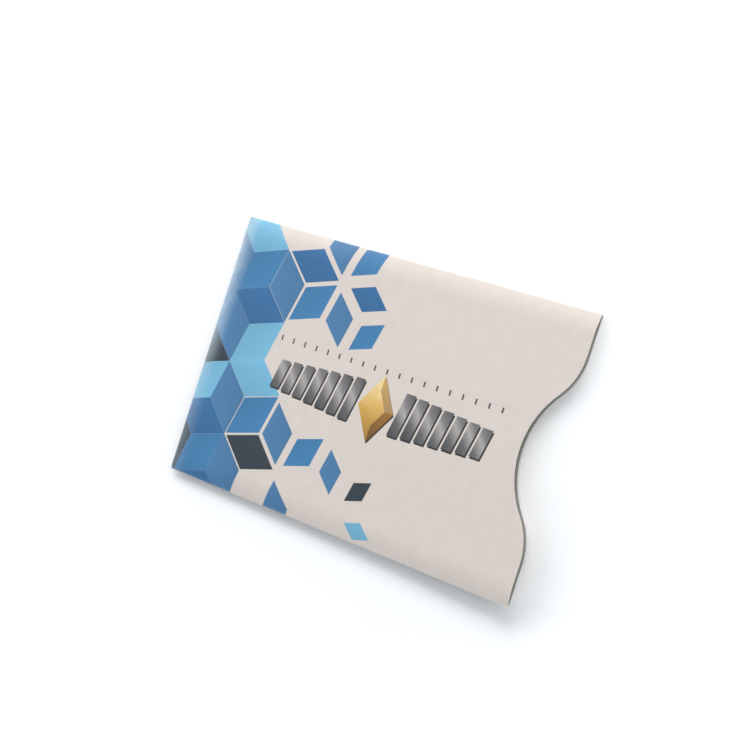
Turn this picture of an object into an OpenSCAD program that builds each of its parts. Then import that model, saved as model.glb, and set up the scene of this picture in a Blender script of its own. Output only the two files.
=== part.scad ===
// Shielding sleeve for one bank card: a die-cut blank of printed board with foil laminated to its
// inner side, folded round a long side and glued over two tucked-in flaps.
// The back lies on z = 0, the mouth with its thumb notch faces +X and the spine is along +Y.

/* [Sleeve] */
// Length from the closed end to the mouth
sleeve_l = 91; // [90:0.5:100]
// Width across the two long sides
sleeve_w = 61; // [60:0.5:70]
// How far the front springs up at the middle of the mouth
mouth_rise = 0.42; // [0:0.02:1]

/* [Sheet] */
// Thickness of the printed board
board_t = 0.2; // [0.15:0.01:0.3]
// Thickness of the foil with its laminating coat
foil_t = 0.04; // [0.02:0.01:0.06]
// Thickness of a glue line
glue_t = 0.03; // [0.02:0.01:0.05]
// Inside radius of a crease
crease_r = 0.03; // [0.02:0.01:0.1]

/* [Pocket] */
// Clear height of the pocket over its flaps, a little more than a card's 0.76
pocket_h = 0.88; // [0.86:0.02:1.2]
// Width of the card that slides in
card_w = 54; // [50:0.5:55]
// Width of the margin in which the front slopes down to its folds
slope_w = 5; // [4.5:0.25:6.5]

/* [Thumb notch] */
// Depth of the notch in the mouth
notch_depth = 7.6; // [4:0.2:8]
// Radius of the hollow for the thumb
thumb_r = 20; // [18:0.5:22]
// Radius of the two rounded shoulders
shoulder_r = 14; // [8:0.5:14.5]

/* [Flaps and glue] */
// Width of the tucked-in flap along the long side
seam_flap_w = 9.5; // [8:0.5:12]
// Width of the tucked-in flap at the closed end
end_flap_w = 10; // [8:0.5:12]
// How far the back panel's cut edges stay inside the folds
back_inset = 0.5; // [0.3:0.1:1]
// Width of a pressed glue line
glue_w = 4.5; // [3:0.5:6]

/* [Hidden] */
$fn = 96;
arc_fn = 720;

half_l = sleeve_l / 2;
half_w = sleeve_w / 2;
ply_t = board_t + foil_t;
eps = 1;

// Square of a number
function sq(a) = a * a;

// Heights of the stack, from the back upwards: back ply, glue line, flap ply, pocket, front ply.
flap_z = ply_t + glue_t;
floor_z = flap_z + ply_t;
plateau_z = floor_z + pocket_h + ply_t;
sleeve_h = plateau_z + mouth_rise;

// A crease turns the sheet under itself on fold_r. Its centre is fold_z high.
fold_r = ply_t + crease_r;
fold_z = flap_z + fold_r;

// The margin is an arc that lies level where the plateau starts and meets the crease's arc
// tangentially. The tangency of the two circles gives its radius and the slope where they meet.
reach = slope_w - fold_r;
climb = plateau_z - fold_z;
slope_r = (sq(reach) + sq(climb) - sq(fold_r)) / (2 * (climb - fold_r));
slope_a = atan(reach / (slope_r - climb));

// Centre of a crease in its section, and the direction from it to where the margin begins
crease = [fold_r, fold_z];
crease_out = [-sin(slope_a), cos(slope_a)];

// The sloping margins reach in almost to the card, and the front panel lies between them.
card_play = 0.1;
strip_w = min((sleeve_w - card_w) / 2 - card_play, slope_w - 1);

// The thumb hollow is an arc outside the mouth, and each shoulder an arc that it runs into.
thumb_x = half_l + thumb_r - notch_depth;
shoulder_x = half_l - shoulder_r;
centres_d = thumb_r + shoulder_r;
shoulder_y = sqrt(sq(centres_d) - sq(centres_d - notch_depth));
run_in_y = shoulder_y * thumb_r / centres_d;
run_in_x = thumb_x - (centres_d - notch_depth) * thumb_r / centres_d;
lap = 0.02;

// Corners cut off the flaps so that they clear each other and the thumb
flap_gap = 0.8;
mouth_gap = 1.5;
mouth_taper = 3;
spine_taper = 2.5;
back_corner = 2;

// Stations of the front panel's grid: how many steps from one key line to the next
across_steps = [7, 5, 2, 2];
margin_steps = 2;
along_steps = 10;

// Height of the front, t below its outer face, at a distance d in from a fold
function margin_z(d, t) =
    plateau_z - slope_r + (d < slope_w ? sqrt(sq(slope_r - t) - sq(slope_w - d)) : slope_r - t);

// How far the open mouth lets the front spring up, from nothing at the closed end
function spring_z(x, y) =
    mouth_rise * sq(max(0, (x + half_l - slope_w) / (sleeve_l - slope_w)))
    * sq(cos(90 * min(1, abs(y) / (half_w - strip_w))));

// Height of the front t below its outer face: the slopes meet in a mitre at each closed corner
function front_z(x, y, t) =
    min(margin_z(x + half_l, t), margin_z(half_w - abs(y), t)) + spring_z(x, y);

// Outline of the mouth: thumb hollow, shoulder, then straight to the corner
function mouth_x(y) =
    abs(y) <= run_in_y ? thumb_x - sqrt(sq(thumb_r) - sq(y))
    : abs(y) < shoulder_y ? shoulder_x + sqrt(sq(shoulder_r) - sq(shoulder_y - abs(y)))
    : half_l;

// Splits each interval of keys into as many even steps as counts gives for it
function stations(keys, counts) = concat(
    [for (i = [0:len(counts) - 1], k = [0:counts[i] - 1])
        keys[i] + (keys[i + 1] - keys[i]) * k / counts[i]],
    [keys[len(counts)]]
);

// Lines across the front panel, from its middle to the spine side and mirrored to the seam side
half_lines = stations([0, run_in_y, shoulder_y, half_w - slope_w, half_w - strip_w], across_steps);
last_line = len(half_lines) - 1;
across = concat([for (i = [last_line:-1:1]) -half_lines[i]], half_lines);

// Points along one such line, from the end fold to the mouth
function along(y) = stations(
    [strip_w - half_l, slope_w - half_l, mouth_x(y)], [margin_steps, along_steps]
);

// Sheet of the front between the depths t0 and t1 under its outer face
module front_sheet(t0, t1) {
    rows = len(across);
    cols = margin_steps + along_steps + 1;
    layer = rows * cols;
    points = [
        for (t = [t0, t1], y = across, x = along(y)) [x, y, front_z(x, y, t)]
    ];
    top = [
        for (j = [0:rows - 2], i = [0:cols - 2])
            let (a = j * cols + i, b = a + cols)
            each across[j] < 0
                ? [[a, b + 1, a + 1], [a, b, b + 1]]
                : [[a, b, a + 1], [b, b + 1, a + 1]]
    ];
    bottom = [for (f = top) [f[2] + layer, f[1] + layer, f[0] + layer]];
    rim = concat(
        [for (i = [0:cols - 2]) i],
        [for (j = [0:rows - 2]) j * cols + cols - 1],
        [for (i = [cols - 1:-1:1]) (rows - 1) * cols + i],
        [for (j = [rows - 1:-1:1]) j * cols]
    );
    sides = [
        for (k = [0:len(rim) - 1])
            let (a = rim[k], b = rim[(k + 1) % len(rim)])
            each [[a, b, b + layer], [a, b + layer, a + layer]]
    ];
    polyhedron(points, concat(top, bottom, sides), convexity = 4);
}

// Section of a front margin between the depths t0 and t1, from the crease to the card's edge. In
// all these sections x is the distance in from the edge and y the height.
module margin_section(t0, t1) {
    intersection() {
        translate([slope_w, plateau_z - slope_r])
            difference() {
                circle(slope_r - t0, $fn = arc_fn);
                circle(slope_r - t1, $fn = arc_fn);
            }
        polygon([crease, crease + crease_out, [strip_w, plateau_z + eps], [strip_w, fold_z]]);
    }
}

// Disc under the surface of a crease, t below it
module under_crease(t) {
    translate(crease) circle(fold_r - t);
}

// The same for the spine: under its crease the sheet runs straight down and turns into the back
module under_spine(t) {
    under_crease(t);
    translate([t, fold_r]) square([fold_r - t, fold_z - fold_r]);
    translate([fold_r, fold_r]) circle(fold_r - t);
}

// Cuts a section off where the sheet runs on, at the margin and under the crease's centre
module crease_side() {
    intersection() {
        children();
        polygon([
            crease, crease + crease_out, [-eps, fold_z + eps], [-eps, -eps], [fold_r, -eps]
        ]);
    }
}

// Section of a crease that turns under to a flap, between the depths t0 and t1
module fold_section(t0, t1) {
    crease_side()
        difference() {
            under_crease(t0);
            under_crease(t1);
        }
}

// Section of the spine between the depths t0 and t1
module spine_section(t0, t1) {
    crease_side()
        difference() {
            under_spine(t0);
            under_spine(t1);
        }
}

// Takes the half of the plan outside the mitre line at the closed end, on the side of y given
module long_side(side) {
    intersection() {
        children();
        translate([0, 0, -eps])
            linear_extrude(sleeve_h + 2 * eps)
                polygon([
                    [-half_l, side * half_w], [half_l, side * half_w],
                    [half_l, 0], [half_w - half_l, 0]
                ]);
    }
}

// Carries the section in its children along the long side at y = side * half_w
module along_long_side(side) {
    long_side(side)
        translate([-half_l, side * half_w, 0])
            rotate([90, 0, 90])
                linear_extrude(sleeve_l)
                    mirror([side > 0 ? 1 : 0, 0])
                        children();
}

// Carries the section in its children along the closed end
module along_closed_end() {
    intersection() {
        translate([-half_l, half_w, 0])
            rotate([90, 0, 0])
                linear_extrude(sleeve_w)
                    children();
        translate([0, 0, -eps])
            linear_extrude(sleeve_h + 2 * eps)
                polygon([[-half_l, half_w], [-half_l, -half_w], [half_w - half_l, 0]]);
    }
}

// Plan of the back panel, from the spine's crease to its cut edge on the seam side. Discs round the
// two shoulders of the mouth and lap a little over the thumb's hollow and the mouth line.
module back_outline() {
    left = back_inset - half_l;
    low = back_inset - half_w;
    high = half_w - fold_r;
    far = half_l + eps;
    difference() {
        intersection() {
            polygon([
                [left, high], [half_l, high], [half_l, low], [left + back_corner, low],
                [left, low + back_corner]
            ]);
            union() {
                polygon([
                    [-far, half_w], [far, half_w], [far, shoulder_y], [shoulder_x, shoulder_y],
                    [run_in_x, run_in_y], [run_in_x, -run_in_y],
                    [shoulder_x, -shoulder_y], [far, -shoulder_y], [far, -half_w], [-far, -half_w]
                ]);
                for (side = [-1, 1])
                    translate([shoulder_x, side * shoulder_y])
                        circle(shoulder_r + lap, $fn = arc_fn);
            }
        }
        translate([thumb_x, 0]) circle(thumb_r, $fn = arc_fn);
    }
}

// Plan of the long side's flap: mitred at the closed end and tapered towards the mouth
module seam_flap_outline() {
    low = fold_r - half_w;
    high = low + seam_flap_w;
    right = half_l - mouth_gap;
    polygon([
        [fold_r + flap_gap - half_l, low], [right, low], [right - mouth_taper, high],
        [fold_r + flap_gap + seam_flap_w - half_l, high]
    ]);
}

// Plan of the closed end's flap: mitred towards the seam and tapered towards the spine
module end_flap_outline() {
    left = fold_r - half_l;
    right = left + end_flap_w;
    low = fold_r + flap_gap - half_w;
    high = half_w - fold_r - flap_gap;
    polygon([
        [left, low], [right, low + end_flap_w], [right, high - spine_taper], [left, high]
    ]);
}

// Glue line with round ends, from one end point to the other along an axis
module glue_line(from, to) {
    run = to - from;
    for (p = [from, to])
        translate(p) circle(d = glue_w);
    translate(from)
        rotate(atan2(run[1], run[0]))
            translate([0, -glue_w / 2])
                square([norm(run), glue_w]);
}

// Layer of the given plan between two heights
module layer(z, t) {
    translate([0, 0, z])
        linear_extrude(t)
            children();
}

module front_panel() {
    color("whitesmoke") front_sheet(0, board_t);
}

module spine_margin() {
    color("gainsboro") along_long_side(1) margin_section(0, board_t);
}

module seam_margin() {
    color("gainsboro") along_long_side(-1) margin_section(0, board_t);
}

module end_margin() {
    color("steelblue") along_closed_end() margin_section(0, board_t);
}

module spine_fold() {
    color("lightgray") along_long_side(1) spine_section(0, board_t);
}

module seam_fold() {
    color("lightgray") along_long_side(-1) fold_section(0, board_t);
}

module end_fold() {
    color("cornflowerblue") along_closed_end() fold_section(0, board_t);
}

module back_panel() {
    color("white") layer(0, board_t) back_outline();
}

module seam_flap() {
    color("ghostwhite") layer(flap_z, board_t) seam_flap_outline();
}

module end_flap() {
    color("lightsteelblue") layer(flap_z, board_t) end_flap_outline();
}

module front_foil() {
    color("silver") front_sheet(board_t, ply_t);
}

module spine_margin_foil() {
    color("silver") along_long_side(1) margin_section(board_t, ply_t);
}

module seam_margin_foil() {
    color("silver") along_long_side(-1) margin_section(board_t, ply_t);
}

module end_margin_foil() {
    color("silver") along_closed_end() margin_section(board_t, ply_t);
}

module spine_fold_foil() {
    color("darkgray") along_long_side(1) spine_section(board_t, ply_t);
}

module seam_fold_foil() {
    color("darkgray") along_long_side(-1) fold_section(board_t, ply_t);
}

module end_fold_foil() {
    color("darkgray") along_closed_end() fold_section(board_t, ply_t);
}

module back_foil() {
    color("silver") layer(board_t, foil_t) back_outline();
}

module seam_flap_foil() {
    color("silver") layer(flap_z + board_t, foil_t) seam_flap_outline();
}

module end_flap_foil() {
    color("silver") layer(flap_z + board_t, foil_t) end_flap_outline();
}

module seam_glue() {
    y = fold_r + seam_flap_w / 2 - half_w;
    reach_x = half_l - end_flap_w - glue_w;
    color("wheat") layer(ply_t, glue_t) glue_line([-reach_x, y], [reach_x, y]);
}

module end_glue() {
    x = fold_r + end_flap_w / 2 - half_l;
    reach_y = half_w - end_flap_w;
    color("wheat") layer(ply_t, glue_t) glue_line([x, -reach_y], [x, reach_y]);
}

front_panel();
spine_margin();
seam_margin();
end_margin();
spine_fold();
seam_fold();
end_fold();
back_panel();
seam_flap();
end_flap();
front_foil();
spine_margin_foil();
seam_margin_foil();
end_margin_foil();
spine_fold_foil();
seam_fold_foil();
end_fold_foil();
back_foil();
seam_flap_foil();
end_flap_foil();
seam_glue();
end_glue();
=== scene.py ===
"""Looks of a folded, foil-lined sleeve for one bank card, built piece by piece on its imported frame."""

import math

import bpy
import numpy as np
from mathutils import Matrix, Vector


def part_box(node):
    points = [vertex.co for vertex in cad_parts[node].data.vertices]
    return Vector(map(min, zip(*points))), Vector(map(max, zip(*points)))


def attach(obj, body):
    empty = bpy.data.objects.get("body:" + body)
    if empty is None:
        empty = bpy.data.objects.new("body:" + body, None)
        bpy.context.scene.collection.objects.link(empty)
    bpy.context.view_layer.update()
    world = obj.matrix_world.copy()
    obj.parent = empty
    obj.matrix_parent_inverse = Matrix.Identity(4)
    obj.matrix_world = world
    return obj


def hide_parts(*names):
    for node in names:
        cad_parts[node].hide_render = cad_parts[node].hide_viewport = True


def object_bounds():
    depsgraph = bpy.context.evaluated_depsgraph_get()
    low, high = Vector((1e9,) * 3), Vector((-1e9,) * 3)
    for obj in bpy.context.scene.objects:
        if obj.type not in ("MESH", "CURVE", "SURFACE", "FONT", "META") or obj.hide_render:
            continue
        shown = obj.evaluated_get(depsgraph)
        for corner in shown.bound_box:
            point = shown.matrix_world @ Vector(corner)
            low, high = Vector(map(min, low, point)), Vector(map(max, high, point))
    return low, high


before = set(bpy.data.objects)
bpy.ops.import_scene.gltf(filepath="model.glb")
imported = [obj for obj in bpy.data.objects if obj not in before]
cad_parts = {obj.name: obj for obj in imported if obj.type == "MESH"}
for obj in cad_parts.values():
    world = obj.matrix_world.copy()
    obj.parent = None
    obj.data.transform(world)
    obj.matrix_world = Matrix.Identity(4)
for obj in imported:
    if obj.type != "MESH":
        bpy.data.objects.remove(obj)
cad_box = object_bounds()


# Front face
# The printed front of the blank, one sheet of coated board that slopes down to its three creases.
# It is die-cut at the mouth, where the empty pocket lets it spring up around the thumb notch.

MM = 0.001
half_l = cad_box[1].x
half_w = cad_box[1].y
board_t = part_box("back_panel")[1].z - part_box("back_panel")[0].z
foil_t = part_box("back_foil")[1].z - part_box("back_foil")[0].z
ply_t = board_t + foil_t
flap_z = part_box("seam_flap")[0].z
crease_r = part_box("end_fold")[1].x + half_l
crease_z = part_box("end_fold")[0].z + crease_r

# Sizes that the solids share and the frame doesn't give. strip_w is the strip along a long fold,
# beside the card, that the mouth's spring leaves down.
pocket_h = 0.88 * MM
plateau_z = flap_z + 2 * ply_t + pocket_h
slope_w = 5 * MM
strip_w = 3.4 * MM
mouth_rise = 0.42 * MM
notch_depth = 7.6 * MM
thumb_r = 20 * MM
shoulder_r = 14 * MM

# The slow wave of the sheet: its height, its run along X and Y, and where it starts.
warp_h = 0.035 * MM
warp_run_x = 11 * MM
warp_run_y = 9 * MM
warp_start_x = 0.6
warp_start_y = -0.5

# The sloping margin is an arc that leaves the crease's own arc tangentially.
reach = slope_w - crease_r
climb = plateau_z - crease_z
slope_r = (reach**2 + climb**2 - crease_r**2) / (2 * (climb - crease_r))
slope_a = math.atan2(reach, slope_r - climb)
crease_in = crease_r * (1 - math.sin(slope_a))
crease_top = crease_z + crease_r * math.cos(slope_a)

# The thumb's arc lies outside the mouth, and each shoulder is an arc that it runs into.
thumb_x = half_l + thumb_r - notch_depth
shoulder_x = half_l - shoulder_r
centres_d = thumb_r + shoulder_r
shoulder_y = math.sqrt(centres_d**2 - (centres_d - notch_depth) ** 2)
run_in_y = shoulder_y * thumb_r / centres_d


def mouth_x(y):
    """Where the mouth is cut: the thumb's arc, then a shoulder's arc, then straight to the corner."""
    a = np.abs(y)
    thumb = thumb_x - np.sqrt(np.maximum(thumb_r**2 - y**2, 0))
    shoulder = shoulder_x + np.sqrt(np.maximum(shoulder_r**2 - (shoulder_y - a) ** 2, 0))
    return np.where(a <= run_in_y, thumb, np.where(a < shoulder_y, shoulder, half_l))


def climbed(d):
    """Share of the climb from crease to plateau at a distance d in from the edge, along the arc."""
    z = plateau_z - slope_r + np.sqrt(slope_r**2 - np.clip(slope_w - d, 0, reach + crease_r) ** 2)
    return (z - crease_top) / (plateau_z - crease_top)


def front_z(x, y):
    """Height of the printed face: the two margins' climbs multiplied, so that they blend softly at
    the closed corners, plus the mouth's spring, plus a slow wave that dies out towards a crease."""
    share = climbed(x + half_l) * climbed(half_w - np.abs(y))
    open_x = np.clip((x + half_l - slope_w) / (2 * half_l - slope_w), 0, None)
    open_y = np.cos(np.pi / 2 * np.clip(np.abs(y) / (half_w - strip_w), 0, 1))
    warp = warp_h * np.sin(x / warp_run_x + warp_start_x) * np.cos(y / warp_run_y + warp_start_y)
    flat_rise = (plateau_z - crease_top + warp) * share
    return crease_top + flat_rise + mouth_rise * (open_x * open_y) ** 2


def up_normals(height, x, y):
    """Unit normals of a height function, from its slopes over a thousandth of a millimetre."""
    step = 0.001 * MM
    slope_x = (height(x + step, y) - height(x - step, y)) / (2 * step)
    slope_y = (height(x, y + step) - height(x, y - step)) / (2 * step)
    normals = np.stack([-slope_x, -slope_y, np.ones_like(slope_x)], -1)
    return normals / np.linalg.norm(normals, axis=-1, keepdims=True)


def stations(*runs):
    """Values along a line, evenly spaced within each run of (from, to, steps)."""
    parts = [np.linspace(a, b, steps, endpoint=False) for a, b, steps in runs]
    return np.concatenate(parts + [[runs[-1][1]]])


def grid_quads(rows, cols):
    """Numbers of the points of a grid, and the four-cornered faces between them."""
    index = np.arange(rows * cols).reshape(rows, cols)
    quads = np.stack([index[:-1, :-1], index[1:, :-1], index[1:, 1:], index[:-1, 1:]], -1)
    return index, quads.reshape(-1, 4)


def new_object(name, points, faces):
    """An object in the scene, with a mesh of the points and faces given as arrays."""
    mesh = bpy.data.meshes.new(name)
    mesh.from_pydata(points.tolist(), [], faces.tolist())
    made = bpy.data.objects.new(name, mesh)
    bpy.context.scene.collection.objects.link(made)
    return made


def outward(line, toward, normals):
    """Unit directions out of the sheet across one of its sides, square to the side and the normals."""
    out = np.cross(np.gradient(line, axis=0), normals)
    out *= np.sign(np.sum(out * toward, -1, keepdims=True))
    return out / np.linalg.norm(out, axis=-1, keepdims=True)


def thin_sheet(name, sheet, thick, cut=(), edge_r=0.05 * MM):
    """A closed sheet of even thickness. sheet holds the grid of points of its outer side, their
    normals, and their places on the flat blank, which become the UV map of that name, in millimetres.
    The inner side lies thick below the outer one along the normals. On the sides named in cut (first,
    last, low, high) the outer side rolls over a quarter circle of edge_r into a wall square to the
    sheet, as a die leaves it. The other sides, where the sheet runs on into the next piece, end in
    that wall alone."""
    sides = {
        "first": (np.s_[0], np.s_[1]),
        "last": (np.s_[-1], np.s_[-2]),
        "low": (np.s_[:, 0], np.s_[:, 1]),
        "high": (np.s_[:, -1], np.s_[:, -2]),
    }
    roll_turns = np.radians([30, 60, 90])
    sharp_angle = math.radians(40)
    face, normals, blank = sheet
    out = np.zeros_like(face)
    for side in cut:
        rim, next_in = sides[side]
        out[rim] += outward(face[rim], face[rim] - face[next_in], normals[rim])

    index, quads = grid_quads(*face.shape[:2])
    loop = np.concatenate([index[:-1, 0], index[-1, :-1], index[:0:-1, -1], index[0, :0:-1]])
    face_list, out_list, normal_list = (a.reshape(-1, 3) for a in (face, out, normals))
    rolls = []
    for turn in roll_turns:
        ring = face_list[loop] - out_list[loop] * edge_r * (1 - math.sin(turn))
        rolls.append(ring - normal_list[loop] * edge_r * (1 - math.cos(turn)))
    inner = face_list - normal_list * thick
    points = np.concatenate([face_list - out_list * edge_r, *rolls, inner])

    first_roll = len(face_list)
    first_inner = first_roll + len(rolls) * len(loop)
    rings = [loop] + [first_roll + k * len(loop) + np.arange(len(loop)) for k in range(len(rolls))]
    rings.append(loop + first_inner)
    walls = [
        np.stack([a, b, np.roll(b, -1), np.roll(a, -1)], -1) for a, b in zip(rings[:-1], rings[1:])
    ]
    faces = np.concatenate([quads, *walls, quads[:, ::-1] + first_inner])
    if np.sum(np.cross(face[1, 0] - face[0, 0], face[0, 1] - face[0, 0]) * normals[0, 0]) < 0:
        faces = faces[:, ::-1]

    piece = new_object(name, points, faces)
    mesh = piece.data
    blank_list = blank.reshape(-1, 2)
    places = np.concatenate([blank_list] + [blank_list[loop]] * len(rolls) + [blank_list]) / MM
    corners = np.zeros(len(mesh.loops), np.int32)
    mesh.loops.foreach_get("vertex_index", corners)
    mesh.uv_layers.new(name="blank")
    mesh.uv_layers["blank"].data.foreach_set("uv", places[corners].ravel().astype(np.float32))

    is_cut = np.any(out_list[loop] != 0, -1)
    wall_start = len(quads) + len(rolls) * len(loop)
    material_index = np.zeros(len(faces), np.int32)
    material_index[wall_start:wall_start + len(loop)] = is_cut & np.roll(is_cut, -1)
    mesh.polygons.foreach_set("material_index", material_index)
    mesh.polygons.foreach_set("use_smooth", np.ones(len(faces), bool))
    mesh.set_sharp_from_angle(angle=sharp_angle)
    mesh.update()
    return piece


def dress(piece, slot, materials, *nodes):
    """Gives a piece the materials of its faces and of its cut walls, and fixes it to the one rigid
    body, in the place of the nodes that it stands for."""
    for material in materials:
        piece.data.materials.append(material)
    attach(piece, "root")
    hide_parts(*nodes)


class Wires:
    """Places nodes in one tree. add returns the node, and the rest what the next node takes."""

    def __init__(self, tree):
        self.tree = tree

    def feed(self, node, inputs):
        """Gives a node's inputs, by name or number, plain values or the outputs of other nodes."""
        for key, value in inputs.items():
            if isinstance(value, bpy.types.NodeSocket):
                self.tree.links.new(value, node.inputs[key])
            else:
                node.inputs[key].default_value = value

    def add(self, kind, inputs=None, **settings):
        node = self.tree.nodes.new(kind)
        for key, value in settings.items():
            setattr(node, key, value)
        self.feed(node, inputs or {})
        return node

    def math(self, operation, *values, clamp=False):
        inputs = dict(enumerate(values))
        return self.add("ShaderNodeMath", inputs, operation=operation, use_clamp=clamp).outputs[0]

    def apart(self, a, b):
        """How far two values are apart."""
        return self.math("ABSOLUTE", self.math("SUBTRACT", a, b))

    def vector(self, operation, *values):
        node = self.add("ShaderNodeVectorMath", dict(enumerate(values)), operation=operation)
        return node.outputs["Value" if operation in ("LENGTH", "DOT_PRODUCT") else "Vector"]

    def scaled(self, vector, factor):
        inputs = {0: vector, "Scale": factor}
        return self.add("ShaderNodeVectorMath", inputs, operation="SCALE").outputs["Vector"]

    def turned(self, vector, angle):
        """vector turned about Z."""
        inputs = {"Vector": vector, "Angle": angle}
        return self.add("ShaderNodeVectorRotate", inputs, rotation_type="Z_AXIS").outputs[0]

    def parts(self, vector):
        return self.add("ShaderNodeSeparateXYZ", {0: vector}).outputs[:]

    def join(self, x, y, z=0.0):
        return self.add("ShaderNodeCombineXYZ", {0: x, 1: y, 2: z}).outputs[0]

    def mix(self, share, a, b, blend="MIX"):
        """Colour a where share is 0 and b where it is 1."""
        inputs = {0: share, 6: a, 7: b}
        return self.add("ShaderNodeMix", inputs, data_type="RGBA", blend_type=blend).outputs[2]

    def toned(self, colour, factor):
        """colour made lighter or darker by a factor."""
        return self.mix(1.0, colour, self.join(factor, factor, factor), blend="MULTIPLY")

    def spread(self, value, low, high, to_low=0.0, to_high=1.0):
        """value carried from low..high to to_low..to_high, and held at both ends."""
        inputs = {0: value, 1: low, 2: high, 3: to_low, 4: to_high}
        return self.add("ShaderNodeMapRange", inputs).outputs[0]

    def inside(self, distance, edge, blur=0.04):
        """1 where distance is under edge and 0 past it, with an edge as soft as printed ink's."""
        return self.spread(self.math("SUBTRACT", distance, edge), -blur, blur, 1.0, 0.0)

    def noise(self, place, scale, detail=2.0, rough=0.5):
        inputs = {"Vector": place, "Scale": scale, "Detail": detail, "Roughness": rough}
        return self.add("ShaderNodeTexNoise", inputs).outputs[0]

    def noisy(self, noise, low, high):
        """Noise, which keeps mostly to 0.3..0.7, carried to low..high."""
        return self.spread(noise, 0.3, 0.7, low, high)

    def ramp(self, value, *stops, interpolation="LINEAR"):
        """Colour from (place, colour) stops."""
        node = self.add("ShaderNodeValToRGB", {0: value})
        node.color_ramp.interpolation = interpolation
        marks = node.color_ramp.elements
        while len(marks) < len(stops):
            marks.new(0.5)
        for mark, (place, colour) in zip(marks, stops):
            mark.position = place
            mark.color = colour
        return node.outputs[0]

    def blank(self):
        """The place on the flat blank, in millimetres."""
        return self.add("ShaderNodeUVMap", uv_map="blank").outputs[0]

    def relief(self, height, strength, distance):
        """Normals of a relief that only light feels."""
        inputs = {"Height": height, "Strength": strength, "Distance": distance}
        return self.add("ShaderNodeBump", inputs).outputs[0]

    def group(self, tree, inputs):
        """A node group, placed with its own values. Returns its outputs, by name."""
        return self.add("ShaderNodeGroup", inputs, node_tree=tree).outputs


def ink(red, green, blue):
    """An ink or paper colour given as a screen shows it, 0 to 255 by the sRGB curve, made the linear
    colour that shaders take."""
    screen = np.array([red, green, blue]) / 255
    linear = np.where(screen <= 0.04045, screen / 12.92, ((screen + 0.055) / 1.055) ** 2.4)
    return (*linear.tolist(), 1.0)


def new_group(name, inputs, outputs):
    """An empty shader node group with inputs (name, kind, value) and outputs (name, kind). Returns
    its wires, what is given to it, and the node that its results go to."""
    tree = bpy.data.node_groups.new(name, "ShaderNodeTree")
    for label, kind, value in inputs:
        socket = tree.interface.new_socket(label, in_out="INPUT", socket_type=kind)
        if value is not None:
            socket.default_value = value
    for label, kind in outputs:
        tree.interface.new_socket(label, in_out="OUTPUT", socket_type=kind)
    wires = Wires(tree)
    return wires, wires.add("NodeGroupInput").outputs, wires.add("NodeGroupOutput")


def paper_grain_group():
    """Felted fibres of board: a fine relief of short fibres drawn out along the machine's run, over
    a wide cloudy one, and the faint mottle that goes with the clouds."""
    wires, given, out = new_group(
        "paper_grain",
        [("Place", "NodeSocketVector", None), ("Fibre Size", "NodeSocketFloat", 0.4)],
        [("Relief", "NodeSocketFloat"), ("Mottle", "NodeSocketFloat")],
    )
    drawn_out = (0.35, 1.0, 1.0)
    cloud_to_fibre = 0.12
    fine_share = 0.6
    tight = wires.math("DIVIDE", 1.0, given["Fibre Size"])
    fine = wires.noise(wires.vector("MULTIPLY", given["Place"], drawn_out), tight, detail=3.0)
    wide = wires.math("MULTIPLY", tight, cloud_to_fibre)
    cloud = wires.noise(given["Place"], wide, detail=4.0)
    cloud_part = wires.math("MULTIPLY", cloud, 1 - fine_share)
    relief = wires.math("MULTIPLY_ADD", fine, fine_share, cloud_part)
    wires.feed(out, {"Relief": relief, "Mottle": cloud})
    return wires.tree


def crease_strain_group():
    """How strained the sheet is by a crease: 1 on the crease lines of the flat blank, fading over
    Reach, and broken up by noise, as print and foil crack along a fold."""
    wires, given, out = new_group(
        "crease_strain",
        [("Blank", "NodeSocketVector", None), ("Reach", "NodeSocketFloat", 0.5)],
        [("Strain", "NodeSocketFloat")],
    )
    speck_scale = 4.5
    near_weight = 0.55
    crack_from = 0.78
    crack_full = 1.02
    x, y, _ = wires.parts(given["Blank"])
    from_end = wires.apart(x, (crease_in / 2 - half_l) / MM)
    from_side = wires.apart(wires.math("ABSOLUTE", y), half_w / MM)
    nearest = wires.math("MINIMUM", from_end, from_side)
    near = wires.spread(wires.math("DIVIDE", nearest, given["Reach"]), 0.0, 1.0, 1.0, 0.0)
    specks = wires.noise(given["Blank"], speck_scale, detail=4.0, rough=0.7)
    strained = wires.math("MULTIPLY_ADD", near, near_weight, specks)
    wires.feed(out, {"Strain": wires.spread(strained, crack_from, crack_full)})
    return wires.tree


paper_grain = paper_grain_group()
crease_strain = crease_strain_group()

white_card = ink(219, 208, 200)
deep_blue = ink(46, 100, 148)
steel_blue = ink(70, 118, 160)
bright_blue = ink(60, 120, 166)
sky_blue = ink(114, 176, 206)
slate = ink(30, 44, 54)

# Places and sizes in the print are in millimetres on the flat blank.
block_side = 9.6
quilt_turn = math.radians(13)
quilt_shift = (3.1, 1.4, 0.0)
row_y = -1.5
row_middle = 3.0


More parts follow.
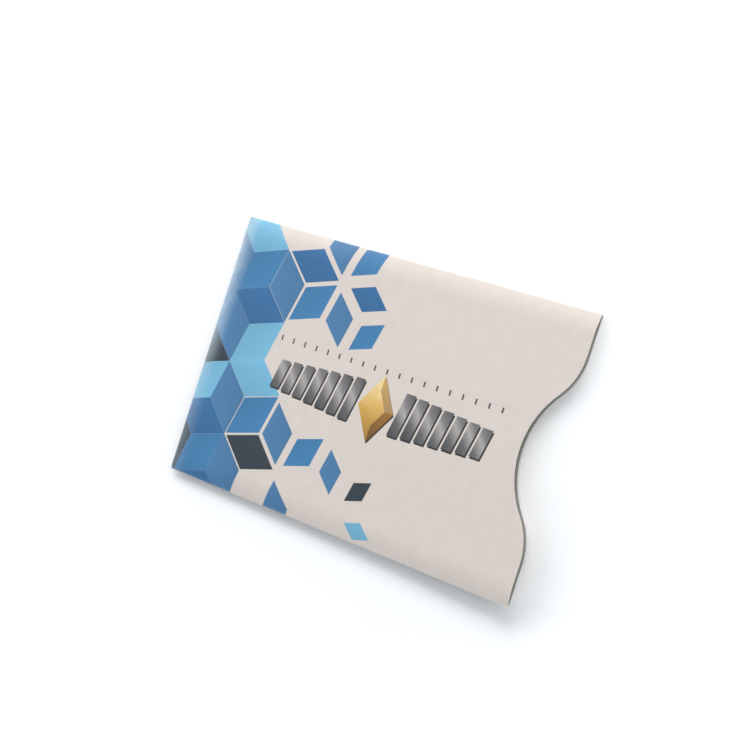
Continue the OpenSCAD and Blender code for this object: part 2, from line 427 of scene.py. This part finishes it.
def rhombus_at(wires, place):
    """The rhombus of a tumbling-blocks quilt that a place lies in. The place is wrapped into hexagons
    of block_side, by taking the nearer middle of two shifted oblong grids, and the angle round a
    hexagon's middle picks one of its three rhombi. Returns that rhombus's middle, a key of its own,
    which of the three it is, how far the place lies along it from its middle, and the sum of the
    place's shares of its two half diagonals, which is 1 on its outline."""
    first_from = 30 / 360
    half_high = block_side / 2
    half_wide = math.sqrt(3) * block_side / 2
    half_cell = (half_wide, 3 * half_high, 0.5)
    low_cell = tuple(-c for c in half_cell)
    offset_a = wires.vector("WRAP", place, half_cell, low_cell)
    moved = wires.vector("SUBTRACT", place, half_cell)
    offset_b = wires.vector("WRAP", moved, half_cell, low_cell)
    length_a = wires.vector("LENGTH", offset_a)
    length_b = wires.vector("LENGTH", offset_b)
    b_is_nearer = wires.math("LESS_THAN", length_b, length_a)
    picked = {0: b_is_nearer, 4: offset_a, 5: offset_b}
    offset = wires.add("ShaderNodeMix", picked, data_type="VECTOR").outputs[1]
    hexagon = wires.vector("SUBTRACT", place, offset)

    across, up, _ = wires.parts(offset)
    turn = wires.math("DIVIDE", wires.math("ARCTAN2", up, across), 2 * math.pi)
    turn = wires.math("FRACT", wires.math("ADD", turn, 1 - first_from))
    which = wires.math("FLOOR", wires.math("MULTIPLY", turn, 3.0))
    angle = wires.math("MULTIPLY_ADD", which, math.radians(120), math.radians(90))
    cosine = wires.math("COSINE", angle)
    sine = wires.math("SINE", angle)
    way = wires.join(cosine, sine)
    side_way = wires.join(wires.math("MULTIPLY", sine, -1.0), cosine)
    along = wires.math("SUBTRACT", wires.vector("DOT_PRODUCT", offset, way), half_high)
    beside = wires.vector("DOT_PRODUCT", offset, side_way)
    share_along = wires.math("DIVIDE", wires.math("ABSOLUTE", along), half_high)
    share_beside = wires.math("DIVIDE", wires.math("ABSOLUTE", beside), half_wide)
    share = wires.math("ADD", share_along, share_beside)

    middle = wires.vector("ADD", hexagon, wires.scaled(way, half_high))
    rank_x, rank_y, _ = wires.parts(wires.vector("DIVIDE", hexagon, half_cell))
    key = wires.join(wires.math("ROUND", rank_x), wires.math("ROUND", rank_y), which)
    return middle, key, which, along, share


def quilt_ink(wires, blank, paper):
    """Tumbling blocks. A rhombus is printed where a random number of its own is over a bar that rises
    to the right, and it shrinks about its middle on the way. The bar is out of reach past a limit in
    three zones: round the row of bars, on the back, and past the seam. Two more random numbers make
    some rhombi sky blue or slate. Returns the paper with the blocks."""
    thins_from = -33.0
    thins_to = 17.0
    shrinks_from = -30.0
    shrinks_to = 8.0
    full_size = 1.002
    least_size = 0.42
    solid_to = -29.0
    back_band_to = -39.0
    row_clearance = 10.5
    sky_over = 0.80
    slate_over = 0.86
    blur = 0.1 / block_side
    place = wires.vector("ADD", wires.turned(blank, quilt_turn), quilt_shift)
    middle, key, which, along, share = rhombus_at(wires, place)
    middle = wires.turned(wires.vector("SUBTRACT", middle, quilt_shift), -quilt_turn)
    block_x, block_y, _ = wires.parts(middle)
    chance = wires.add("ShaderNodeTexWhiteNoise", {"Vector": key}, noise_dimensions="3D")
    chances = wires.add("ShaderNodeSeparateColor", {0: chance.outputs["Color"]}).outputs
    to_print, to_sky, to_slate = chances[:]

    bar = wires.spread(block_x, thins_from, thins_to, -0.05, 1.02)
    near_row = wires.math("LESS_THAN", wires.apart(block_y, row_y), row_clearance)
    on_back = wires.math("GREATER_THAN", block_y, (half_w + crease_r) / MM)
    past_seam = wires.math("LESS_THAN", block_y, -half_w / MM)
    for zone, limit in ((near_row, solid_to), (on_back, back_band_to), (past_seam, solid_to)):
        bar = wires.math("MULTIPLY_ADD", zone, wires.math("GREATER_THAN", block_x, limit), bar)
    printed = wires.math("GREATER_THAN", to_print, bar)
    size = wires.spread(block_x, shrinks_from, shrinks_to, full_size, least_size)
    cover = wires.math("MULTIPLY", printed, wires.inside(share, size, blur))

    tone = wires.ramp(
        wires.math("DIVIDE", which, 2.0), (0.0, deep_blue), (0.25, steel_blue), (0.75, bright_blue),
        interpolation="CONSTANT",
    )
    tone = wires.mix(wires.math("GREATER_THAN", to_sky, sky_over), tone, sky_blue)
    tone = wires.mix(wires.math("GREATER_THAN", to_slate, slate_over), tone, slate)
    fall = wires.spread(along, -block_side / 2, block_side / 2, 0.90, 1.12)
    return wires.mix(cover, paper, wires.toned(tone, fall))


def bars_ink(wires, x, y, paper):
    """A row of slanted bars, alike on both sides of row_middle and shorter by a constant step from
    each to the next. Each is a strip of constant width in a place that leans by slant, over a black
    one moved down to the right. Its steel runs from dark through silver to dark along its length."""
    pitch = 3.3
    width = 2.45
    slant = 0.2
    first_bar = 2
    last_bar = 8
    half_longest = 5.4
    shorter = 0.27
    shadow_x = 0.3
    shadow_y = -0.38
    shadow_wider = 0.05
    glint_step = 1.7
    glint_size = 0.07
    steel = (
        (0.05, ink(66, 66, 69)), (0.3, ink(98, 97, 99)), (0.56, ink(170, 166, 164)),
        (0.72, ink(122, 120, 121)), (1.0, ink(84, 83, 85)),
    )

    def bar_at(dx, dy, grow):
        """The bar at a place when the row is moved by dx, dy and its bars are wider by twice grow:
        its number from row_middle, the place across and along it, and 1 where it covers."""
        v = wires.math("SUBTRACT", y, row_y + dy)
        u = wires.math("SUBTRACT", x, row_middle + dx)
        u = wires.math("SUBTRACT", u, wires.math("MULTIPLY", v, slant))
        number = wires.math("ROUND", wires.math("DIVIDE", u, pitch))
        u = wires.math("SUBTRACT", u, wires.math("MULTIPLY", number, pitch))
        count = wires.math("ABSOLUTE", number)
        half_length = wires.math("MULTIPLY_ADD", count, -shorter, half_longest)
        in_width = wires.inside(wires.math("ABSOLUTE", u), width / 2 + grow)
        in_length = wires.inside(wires.math("ABSOLUTE", v), half_length)
        from_first = wires.math("GREATER_THAN", count, first_bar - 0.5)
        to_last = wires.math("LESS_THAN", count, last_bar + 0.5)
        cover = wires.math("MULTIPLY", in_width, in_length)
        cover = wires.math("MULTIPLY", cover, wires.math("MULTIPLY", from_first, to_last))
        return number, u, v, cover

    _, _, _, shadow = bar_at(shadow_x, shadow_y, shadow_wider)
    paper = wires.mix(shadow, paper, ink(24, 25, 28))
    number, u, v, cover = bar_at(0.0, 0.0, 0.0)
    glint = wires.math("SINE", wires.math("MULTIPLY", number, glint_step))
    glint = wires.math("MULTIPLY", glint, glint_size)
    height = wires.spread(wires.math("ADD", v, u), -half_longest, half_longest)
    return wires.mix(cover, paper, wires.ramp(wires.math("ADD", height, glint), *steel))


def gold_ink(wires, x, y, paper):
    """An upright rhombus in the gap of the row: the shares of its half width and half height add to 1
    on its outline. Its four facets and the smaller rhombus cut flat on top are plain gold tones, over
    a dark one moved down to the right."""
    half_wide = 4.6
    half_high = 7.4
    below_row = 0.4
    shadow_x = 0.3
    shadow_y = -0.35
    table_share = 0.52
    upper_gleam = 0.12
    blur = 0.01
    left_gold = ((0.0, ink(156, 112, 48)), (0.55, ink(216, 172, 88)), (1.0, ink(246, 222, 156)))
    right_gold = ((0.0, ink(96, 64, 26)), (0.5, ink(152, 108, 48)), (1.0, ink(196, 152, 80)))
    table_gold = ((0.2, ink(176, 130, 58)), (0.6, ink(224, 184, 104)), (0.8, ink(250, 232, 178)))
    u = wires.math("SUBTRACT", x, row_middle)
    v = wires.math("SUBTRACT", y, row_y - below_row)

    def share_at(dx, dy):
        beside = wires.math("DIVIDE", wires.apart(u, dx), half_wide)
        above = wires.math("DIVIDE", wires.apart(v, dy), half_high)
        return wires.math("ADD", beside, above)

    shadow = wires.inside(share_at(shadow_x, shadow_y), 1.0, blur)
    paper = wires.mix(shadow, paper, ink(58, 44, 30))
    share = share_at(0.0, 0.0)
    right = wires.math("GREATER_THAN", u, 0.0)
    upper = wires.math("GREATER_THAN", v, 0.0)
    rise = wires.spread(v, -half_high, half_high)
    facets = wires.mix(right, wires.ramp(rise, *left_gold), wires.ramp(rise, *right_gold))
    facets = wires.mix(wires.math("MULTIPLY", upper, upper_gleam), facets, ink(255, 240, 200))
    table = wires.inside(share, table_share, blur)
    facets = wires.mix(table, facets, wires.ramp(rise, *table_gold))
    return wires.mix(wires.inside(share, 1.0, blur), paper, facets)


def dashes_ink(wires, x, y, paper):
    """A line of small upright dashes over the row, one every step, for half_line on both sides."""
    step = 3.2
    half_line = 30.0
    line_y = 6.3
    half_wide = 0.2
    half_high = 0.6
    u = wires.math("SUBTRACT", x, row_middle)
    nearest = wires.math("MULTIPLY", wires.math("ROUND", wires.math("DIVIDE", u, step)), step)
    in_width = wires.inside(wires.apart(u, nearest), half_wide)
    in_height = wires.inside(wires.apart(y, line_y), half_high)
    in_line = wires.math("LESS_THAN", wires.math("ABSOLUTE", nearest), half_line)
    cover = wires.math("MULTIPLY", wires.math("MULTIPLY", in_width, in_height), in_line)
    return wires.mix(cover, paper, ink(60, 60, 64))


def new_material(name):
    """A material with only its shader, and wires to place the rest."""
    material = bpy.data.materials.new(name)
    material.use_nodes = True
    return material, Wires(material.node_tree), material.node_tree.nodes["Principled BSDF"]


def printed_board_material():
    """Coated white board, printed. Along the closed end the colour is painted paler towards light
    blue, partly ink rubbed thin and partly a painted sheen of the sloping margin, strongest on the
    spine's half of it; the white of the paper breaks through on the creases."""
    material, wires, shader = new_material("printed_board")
    fibre_size = 0.35
    crack_reach = 0.6
    crack_cover = 0.55
    # Reach, fall-off and spread towards the spine of the painted sheen and rubbed ink at the closed end.
    sheen_reach = 5.0
    sheen_power = 1.6
    less_from = -16.0
    full_from = 10.0
    least_sheen = 0.3
    blank = wires.blank()
    x, y, _ = wires.parts(blank)
    grain = wires.group(paper_grain, {"Place": blank, "Fibre Size": fibre_size})
    strain = wires.group(crease_strain, {"Blank": blank, "Reach": crack_reach})
    colour = quilt_ink(wires, blank, white_card)
    colour = dashes_ink(wires, x, y, colour)
    colour = bars_ink(wires, x, y, colour)
    colour = gold_ink(wires, x, y, colour)

    # Painted sheen, partly rubbed ink: the colour lightens towards light blue within a few millimetres
    # of the closed end, patchy, and most towards the spine, where the painted sheen is strongest.
    near_end = wires.spread(wires.apart(x, -half_l / MM), 0.0, sheen_reach, 1.0, 0.0)
    rubbed_and_sheen = wires.math("POWER", near_end, sheen_power)
    patchy = wires.noisy(grain["Mottle"], 0.55, 0.78)
    sheen_to_spine = wires.spread(y, less_from, full_from, least_sheen, 1.0)
    rubbed_and_sheen = wires.math("MULTIPLY", wires.math("MULTIPLY", rubbed_and_sheen, patchy), sheen_to_spine)
    colour = wires.mix(rubbed_and_sheen, colour, ink(204, 222, 234))
    cracked = wires.math("MULTIPLY", strain["Strain"], crack_cover)
    colour = wires.mix(cracked, colour, ink(232, 228, 222))
    colour = wires.toned(colour, wires.noisy(grain["Mottle"], 0.975, 1.02))
    wires.feed(shader, {
        "Base Color": colour,
        "Roughness": wires.noisy(grain["Relief"], 0.5, 0.6),
        "Normal": wires.relief(grain["Relief"], 0.25, 0.004 * MM),
        "Coat Weight": 0.35,
        "Coat Roughness": 0.4,
        "Specular IOR Level": 0.25,
    })
    return material


def cut_board_material():
    """The die-cut wall of the board: bare white pulp, a little rough and greyed by the cut."""
    material, wires, shader = new_material("cut_board")
    place = wires.scaled(wires.add("ShaderNodeTexCoord").outputs["Object"], 1 / MM)
    grain = wires.group(paper_grain, {"Place": place, "Fibre Size": 0.09})
    wires.feed(shader, {
        "Base Color": wires.mix(grain["Relief"], ink(176, 172, 164), ink(226, 221, 212)),
        "Roughness": 0.9,
        "Normal": wires.relief(grain["Relief"], 0.6, 0.02 * MM),
    })
    return material


printed_board = printed_board_material()
cut_board = cut_board_material()


def front_grid():
    """The front's sheet: lines along X, one for each station across. Each has the same stations over
    the end margin and then evenly spaced ones to its own place on the mouth."""
    lines = stations((crease_in - half_w, 0, 84), (0, half_w - crease_in, 84))
    margin = stations((crease_in - half_l, slope_w - half_l, 20))[:-1]
    share = stations((0, 0.9, 64), (0.9, 1, 16))
    start = slope_w - half_l
    far = start + share * (mouth_x(lines)[:, None] - start)
    near = np.broadcast_to(margin, (len(lines), len(margin)))
    x = np.concatenate([near, far], 1)
    y = np.broadcast_to(lines[:, None], x.shape)
    points = np.stack([x, y, front_z(x, y)], -1)
    return points, up_normals(front_z, x, y), points[..., :2]


front_sheet = front_grid()
dress(
    thin_sheet("front_face", front_sheet, board_t, cut=("high",)),
    "printed_board", (printed_board, cut_board),
    "front_panel", "spine_margin", "seam_margin", "end_margin",
)


# Creases
# Three sides where the one sheet is scored and folded: the spine runs round into the back, and the
# other two turn under into their glue flaps. Only their ends at the mouth are die-cut.

def crease_section(drop):
    """Section of a crease: turning angle, distance in from the edge, height, and arc length along the
    outer side. It starts where the margin ends, turns down through half a circle in all, and runs
    straight for drop where it stands upright."""
    upper = stations((slope_a, math.pi / 2, 14))
    lower = stations((math.pi / 2, math.pi, 16))
    if drop == 0:
        upper = upper[:-1]
    turn = np.concatenate([upper, lower])
    centre = crease_z - np.concatenate([np.zeros(len(upper)), np.full(len(lower), drop)])
    inward = crease_r * (1 - np.sin(turn))
    height = centre + crease_r * np.cos(turn)
    arc = crease_r * (turn - slope_a) + (crease_z - centre)
    return turn, inward, height, arc


def long_crease_grid(side, drop):
    """A crease along a long side: its section carried along X from the mitre at the closed corner to
    the mouth. side is 1 at the spine and -1 at the seam."""
    turn, inward, height, arc = (a[:, None] for a in crease_section(drop))
    share = stations((0, 0.04, 6), (0.04, 0.98, 90), (0.98, 1, 6))
    start = inward - half_l
    x = start + share * (half_l - start)
    flat = np.zeros_like(x)
    points = np.stack([x, flat + side * (half_w - inward), flat + height], -1)
    normals = np.stack([flat, flat + side * np.sin(turn), flat + np.cos(turn)], -1)
    blank = np.stack([x, flat + side * (half_w - crease_in + arc)], -1)
    return points, normals, blank


def end_crease_grid():
    """The crease at the closed end: its section carried along Y from mitre to mitre."""
    turn, inward, height, arc = (a[:, None] for a in crease_section(0))
    y = stations((-1, 1, 110)) * (half_w - inward)
    flat = np.zeros_like(y)
    points = np.stack([flat + (inward - half_l), y, flat + height], -1)
    normals = np.stack([flat - np.sin(turn), flat, flat + np.cos(turn)], -1)
    blank = np.stack([flat - (half_l - crease_in + arc), y], -1)
    return points, normals, blank


spine_drop = crease_z - crease_r
spine_sheet = long_crease_grid(1, spine_drop)
seam_sheet = long_crease_grid(-1, 0)
end_sheet = end_crease_grid()
spine_crease = thin_sheet("spine_crease", spine_sheet, board_t, cut=("high",))
seam_crease = thin_sheet("seam_crease", seam_sheet, board_t, cut=("high",))
end_crease = thin_sheet("end_crease", end_sheet, board_t)
dress(spine_crease, "printed_board", (printed_board, cut_board), "spine_fold")
dress(seam_crease, "printed_board", (printed_board, cut_board), "seam_fold")
dress(end_crease, "printed_edge", (printed_board, cut_board), "end_fold")


# Back face
# The panel that the spine folds round to: it is glued down on both flaps and cut a little short of
# the folds, with the other half of the thumb notch. Between the flaps it relaxes inwards a trifle.

back_left, back_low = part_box("back_panel")[0].xy
back_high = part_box("back_panel")[1].y
back_corner = 2 * MM
seam_flap_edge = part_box("seam_flap")[1].y
end_flap_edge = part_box("end_flap")[1].x
slack = 0.03 * MM
slack_run = 2 * MM


def eased(a):
    """Smooth step from 0 to 1."""
    a = np.clip(a, 0, 1)
    return a * a * (3 - 2 * a)


def back_z(x, y):
    """Height of the outer side: nothing under the flaps, and slack where no flap backs the panel."""
    past_seam = eased((y - seam_flap_edge) / slack_run)
    past_end = eased((x - end_flap_edge) / slack_run)
    off_spine = eased((back_high - y) / (2 * slack_run))
    return slack * past_seam * past_end * off_spine


def back_grid():
    """The back's sheet: lines along X from the closed end, which starts with a cut corner at the
    seam, to the mouth. On the blank it carries on where the spine's arc ends."""
    corner_y = back_low + back_corner
    lines = stations((back_low, corner_y, 5), (corner_y, back_high, 130))
    share = stations((0, 0.02, 4), (0.02, 0.98, 140), (0.98, 1, 4))
    start = back_left + np.clip(corner_y - lines, 0, None)
    x = start[:, None] + share * (mouth_x(lines) - start)[:, None]
    y = np.broadcast_to(lines[:, None], x.shape)
    _, _, spine_blank = spine_sheet
    spine_end = spine_blank[..., 1].max()
    points = np.stack([x, y, back_z(x, y)], -1)
    return points, -up_normals(back_z, x, y), np.stack([x, spine_end + back_high - y], -1)


back_sheet = back_grid()
back_face = thin_sheet("back_face", back_sheet, board_t, cut=("first", "low", "high"))
dress(back_face, "printed_board", (printed_board, cut_board), "back_panel")


# Glue flaps
# Two strips of the same board, folded in from the seam and from the closed end, unprinted and glued
# to the back. Their corners are cut off so that they clear each other, the spine and the thumb.

mouth_taper = 3 * MM
spine_taper = 2.5 * MM


def plain_board_material():
    """Coated white board without print."""
    material, wires, shader = new_material("plain_board")
    grain = wires.group(paper_grain, {"Place": wires.blank(), "Fibre Size": 0.3})
    wires.feed(shader, {
        "Base Color": wires.mix(grain["Mottle"], ink(214, 208, 200), white_card),
        "Roughness": 0.6,
        "Normal": wires.relief(grain["Relief"], 0.35, 0.006 * MM),
    })
    return material


def level_normals(points, way):
    """Normals for a grid of points that all point up (1) or down (-1)."""
    return np.zeros_like(points) + (0, 0, way)


def flap_grid(node, along, taper, half_across):
    """The sheet of a flap over its node's box: lines along the crease, on X (0) or Y (1), one for each
    station from the crease inwards. They start on a mitre at the closed corner, and their far ends
    step back by taper in all. Bare board has no print to line up, so its places on the blank are just
    moved out by twice half_across, clear of the front's own."""
    low, high = (np.array(v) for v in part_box(node))
    across = 1 - along
    lines = stations((low[across], high[across], 16))
    inward = (lines - low[across]) / (high[across] - low[across])
    starts = low[along] + lines - low[across]
    ends = high[along] - taper * inward
    share = stations((0, 1, 60))
    points = np.full((len(lines), len(share), 3), flap_z)
    points[..., along] = starts[:, None] + share * (ends - starts)[:, None]
    points[..., across] = lines[:, None]
    blank = points[..., :2].copy()
    blank[..., across] -= 2 * half_across
    return points, level_normals(points, -1), blank


plain_board = plain_board_material()
seam_flap_sheet = flap_grid("seam_flap", 0, mouth_taper, half_w)
end_flap_sheet = flap_grid("end_flap", 1, spine_taper, half_l)
flap_cuts = ("last", "low", "high")
seam_flap = thin_sheet("seam_glue_flap", seam_flap_sheet, board_t, cut=flap_cuts)
end_flap = thin_sheet("end_glue_flap", end_flap_sheet, board_t, cut=flap_cuts)
dress(seam_flap, "flap_board", (plain_board, cut_board), "seam_flap")
dress(end_flap, "flap_board", (plain_board, cut_board), "end_flap")


# Foil lining
# Aluminium foil laminated to the whole inner side of the blank before it is cut and folded, so each
# zone of board has its own foil ply. Its matt side faces the card.

foil_edge_r = 0.004 * MM


def foil_material():
    """Matt aluminium: roll lines drawn out along X, and fine crazing where a crease strains it."""
    material, wires, shader = new_material("matt_foil")
    drawn_out = (0.03, 1.0, 1.0)
    crinkle_weight = 3.0
    craze_reach = 1.2
    craze_cover = 0.3
    blank = wires.blank()
    lines = wires.noise(wires.vector("MULTIPLY", blank, drawn_out), 5.0, detail=4.0, rough=0.6)
    crinkle = wires.noise(blank, 0.5, detail=4.0, rough=0.55)
    height = wires.math("MULTIPLY_ADD", crinkle, crinkle_weight, lines)
    strain = wires.group(crease_strain, {"Blank": blank, "Reach": craze_reach})
    crazed = wires.math("MULTIPLY", strain["Strain"], craze_cover)
    colour = wires.mix(lines, ink(184, 184, 178), ink(214, 213, 206))
    colour = wires.mix(crazed, colour, ink(160, 160, 156))
    wires.feed(shader, {
        "Base Color": colour,
        "Metallic": 0.75,
        "Roughness": wires.noisy(lines, 0.46, 0.6),
        "Normal": wires.relief(height, 0.5, 0.012 * MM),
    })
    return material


matt_foil = foil_material()


def lining(name, sheet, *nodes):
    """The foil under one zone of board: a sheet that starts where the board's thickness ends."""
    face, normals, blank = sheet
    foil = thin_sheet(name, (face - normals * board_t, normals, blank), foil_t, edge_r=foil_edge_r)
    dress(foil, "foil", (matt_foil, matt_foil), *nodes)


lining(
    "front_lining", front_sheet,
    "front_foil", "spine_margin_foil", "seam_margin_foil", "end_margin_foil",
)
lining("spine_crease_lining", spine_sheet, "spine_fold_foil")
lining("seam_crease_lining", seam_sheet, "seam_fold_foil")
lining("end_crease_lining", end_sheet, "end_fold_foil")
lining("back_lining", back_sheet, "back_foil")
lining("seam_flap_lining", seam_flap_sheet, "seam_flap_foil")
lining("end_flap_lining", end_flap_sheet, "end_flap_foil")


# Glue lines
# Dispersion glue run along the middle of each flap and pressed flat against the back's foil.

glue_edge_r = 0.01 * MM


def glue_material():
    """Dried dispersion glue: cream and glossy, with small bubbles pressed flat in it."""
    material, wires, shader = new_material("dried_glue")
    bubble_scale = 1.6
    blank = wires.blank()
    cells = wires.add("ShaderNodeTexVoronoi", {"Vector": blank, "Scale": bubble_scale})
    bubble = wires.spread(cells.outputs["Distance"], 0.05, 0.2, 1.0, 0.0)
    cloud = wires.noise(blank, 0.7)
    colour = wires.mix(cloud, ink(222, 208, 172), ink(240, 232, 208))
    wires.feed(shader, {
        "Base Color": wires.mix(bubble, colour, ink(248, 246, 236)),
        "Roughness": wires.noisy(cloud, 0.22, 0.4),
        "Normal": wires.relief(bubble, 0.5, 0.01 * MM),
    })
    return material


dried_glue = glue_material()


def glue_film(name, node, along):
    """A pressed bead: straight, with round ends, and edges that waver by a few per cent. along is the
    axis that it runs on, 0 for X and 1 for Y."""
    end_turn = 8
    tip_share = 0.12
    swell = 0.82
    waver = 0.05
    short_wave = 2.1 * MM
    long_wave = 5.3 * MM
    low, high = (np.array(v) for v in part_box(node))
    across = 1 - along
    middle = (low + high) / 2
    half_run = (high - low)[along] / 2
    half_wide = (high - low)[across] / 2
    angle = np.radians(stations((end_turn, 180 - end_turn, 90)))
    run = -np.cos(angle) * half_run / math.cos(math.radians(end_turn))
    ends = np.clip((half_run - np.abs(run)) / half_wide, 0, 1)
    wide = half_wide * (tip_share + swell * np.sqrt(1 - (1 - ends) ** 2))
    wide *= 1 + waver * np.sin(run / short_wave) * np.sin(run / long_wave + 1)
    share = stations((-1, 1, 8))
    points = np.full((len(run), len(share), 3), high[2])
    points[..., along] = middle[along] + run[:, None]
    points[..., across] = middle[across] + wide[:, None] * share
    sheet = (points, level_normals(points, 1), points[..., :2])
    all_sides = ("first", "last", "low", "high")
    film = thin_sheet(name, sheet, high[2] - low[2], cut=all_sides, edge_r=glue_edge_r)
    dress(film, "glue", (dried_glue, dried_glue), node)


glue_film("seam_glue_film", "seam_glue", 0)
glue_film("end_glue_film", "end_glue", 1)


# Floor, lights and camera
# A white floor sheet under four soft lights, of which the one past the spine is the strongest, and a
# low pale wall all round that the sleeve's slopes and folds catch. The camera sees white past it.

lamp_distance = 1.3


def seen_rays(wires):
    """1 for a ray from the camera, or one that gloss or glass sends on, and 0 for a ray of light."""
    path = wires.add("ShaderNodeLightPath").outputs
    seen = wires.math("ADD", path["Is Camera Ray"], path["Is Glossy Ray"])
    return wires.math("ADD", seen, path["Is Transmission Ray"], clamp=True)


def grey(level):
    """The grey or white of one linear level."""
    return (level, level, level, 1.0)


def floor_material():
    """Matt white. Only to the seen rays it is brighter, and it glows a little away from the sleeve and
    more beyond, where the lights fall off, so that it stays white up to the horizon."""
    material, wires, shader = new_material("floor_white")
    level_to_light = 0.80
    level_seen = 1.08
    material.node_tree.nodes.remove(shader)
    seen = seen_rays(wires)
    tone = wires.mix(seen, grey(level_to_light), grey(level_seen))
    matt = wires.add("ShaderNodeBsdfDiffuse", {"Color": tone})
    away = wires.vector("LENGTH", wires.add("ShaderNodeTexCoord").outputs["Object"])
    near_glow = wires.spread(away, 0.05, 0.12, 0.015, 0.15)
    far_glow = wires.spread(away, 0.2, 0.6, 0.0, 1.0)
    glow = wires.math("MULTIPLY", seen, wires.math("ADD", near_glow, far_glow))
    glowing = wires.add("ShaderNodeEmission", {"Strength": glow})
    both = wires.add("ShaderNodeAddShader", {0: matt.outputs[0], 1: glowing.outputs[0]})
    wires.feed(material.node_tree.nodes["Material Output"], {"Surface": both.outputs[0]})
    return material


def stage_floor():
    """A sheet that touches the back along the spine. It falls away from there by a gentle slope, and by
    a dip that grows as the square of the way to the mouth and to the seam, so that the lower corner of
    the mouth stands clear of it. The dip rises again over rise_run past the mouth."""
    span = 3.0
    fine_span = 0.08
    drop = 0.01 * MM
    slope = 0.016
    dip = 2.2 * MM
    dip_start = -2 * MM
    rise_run = 34 * MM
    share = stations((-span, -fine_span, 6), (-fine_span, fine_span, 128), (fine_span, span, 6))
    x, y = np.meshgrid(share, share, indexing="ij")
    to_mouth = np.clip((x + half_l) / (2 * half_l), 0, 1)
    to_mouth = to_mouth * np.clip(1 - (x - half_l) / rise_run, 0, 1)
    to_seam = np.clip((dip_start - y) / (dip_start + half_w), 0, 1)
    fall = slope * (half_w - np.clip(y, -fine_span, half_w))
    z = -drop - fall - dip * (to_mouth * to_seam) ** 2
    points = np.stack([x, y, z], -1).reshape(-1, 3)
    floor = new_object("floor", points, grid_quads(*x.shape)[1])
    floor.data.shade_smooth()
    floor.data.materials.append(floor_material())


def soft_light(name, azimuth, elevation, wide, high, share):
    """An area light, wide by high in metres, at lamp_distance from the sleeve and turned to it, at an
    azimuth in degrees from +X and an elevation above the floor. share is what it adds to a white floor
    under the sleeve, where 1 looks white, so its power is share * pi^2 * distance^3 / height."""
    a, e = math.radians(azimuth), math.radians(elevation)
    level = lamp_distance * math.cos(e)
    place = Vector((level * math.cos(a), level * math.sin(a), lamp_distance * math.sin(e)))
    lamp = bpy.data.lights.new(name, "AREA")
    lamp.shape = "RECTANGLE"
    lamp.size = wide
    lamp.size_y = high
    lamp.energy = share * math.pi**2 * place.length**3 / place.z
    light = bpy.data.objects.new(name, lamp)
    light.location = place
    light.rotation_euler = (-place).to_track_quat("-Z", "Y").to_euler()
    bpy.context.scene.collection.objects.link(light)


def studio_world():
    """Light rays see a dim cool sky and a low wall, brighter on the side away from the window. The
    camera, gloss and glass see plain white."""
    base = 0.10
    cool = (0.88, 0.96, 1.03, 1.0)
    window_azimuth = math.radians(100)
    window_way = (math.cos(window_azimuth), math.sin(window_azimuth), 0.0)
    world = bpy.data.worlds.new("studio")
    world.use_nodes = True
    wires = Wires(world.node_tree)
    way = wires.add("ShaderNodeTexCoord").outputs["Generated"]
    _, _, height = wires.parts(way)
    over_floor = wires.spread(height, 0.02, 0.06)
    under_top = wires.spread(height, 0.24, 0.36, 1.0, 0.0)
    wall = wires.math("MULTIPLY", over_floor, under_top)
    to_window = wires.vector("DOT_PRODUCT", way, window_way)
    wall_strength = wires.spread(to_window, -1.0, 1.0, 3.0, 1.8)
    light = wires.math("MULTIPLY_ADD", wall, wall_strength, base)
    seen = seen_rays(wires)
    wires.feed(world.node_tree.nodes["Background"], {
        "Strength": wires.spread(seen, 0.0, 1.0, light, 1.0),
        "Color": wires.mix(seen, cool, grey(1.0)),
    })
    return world


stage_floor()
soft_light("window_side", 95, 37, 1.1, 0.6, 0.39)
soft_light("closed_end_side", 150, 28, 1.1, 0.5, 0.17)
soft_light("mouth_side", 24, 34, 1.0, 0.6, 0.15)
soft_light("overhead", 20, 68, 1.1, 1.1, 0.08)
bpy.context.scene.world = studio_world()
bpy.context.scene.view_settings.view_transform = "Standard"

# Where a pinhole camera stands that sees the corners of the sleeve as the photograph shows them.
camera_data = bpy.data.cameras.new("camera")
camera_data.lens = 68.8
camera_data.sensor_width = 36
camera_data.clip_start = 0.01
camera = bpy.data.objects.new("camera", camera_data)
camera.location = (0.16063, 0.01066, 0.26199)
camera.rotation_euler = tuple(math.radians(a) for a in (9.69, 30.28, 20.77))
bpy.context.scene.collection.objects.link(camera)
bpy.context.scene.camera = camera
